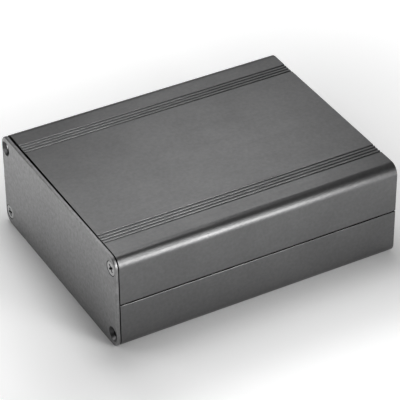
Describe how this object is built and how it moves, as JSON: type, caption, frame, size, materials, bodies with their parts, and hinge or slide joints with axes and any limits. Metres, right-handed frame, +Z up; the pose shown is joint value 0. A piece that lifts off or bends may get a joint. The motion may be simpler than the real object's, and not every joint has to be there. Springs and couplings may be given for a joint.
{
  "type": "extruded aluminium enclosure",
  "caption": "Split extruded aluminium case: two interlocking shells with board slots and screw channels, a countersunk end plate at one end and the other end open.",
  "frame": {"origin": "centre of the whole case's footprint, on the plane it rests on", "axes": "+X along the extrusion from the end plate to the open end, +Y across the case, +Z up"},
  "size_m": [0.1122, 0.088, 0.038],
  "materials": {
    "anodised_shell": "dark grey anodised over a fine matt blast, faint draw lines along the extrusion",
    "anodised_plate": "dark grey anodised sheet, finely blasted, brighter along its chamfer",
    "screw_steel": "dull nickel-plated steel, dark in the cross recess"
  },
  "bodies": {
    "root": {"upper_shell": "anodised_shell", "lower_shell": "anodised_shell", "end_plate": "anodised_plate", "plate_screws": "screw_steel"}
  },
  "joints": []
}
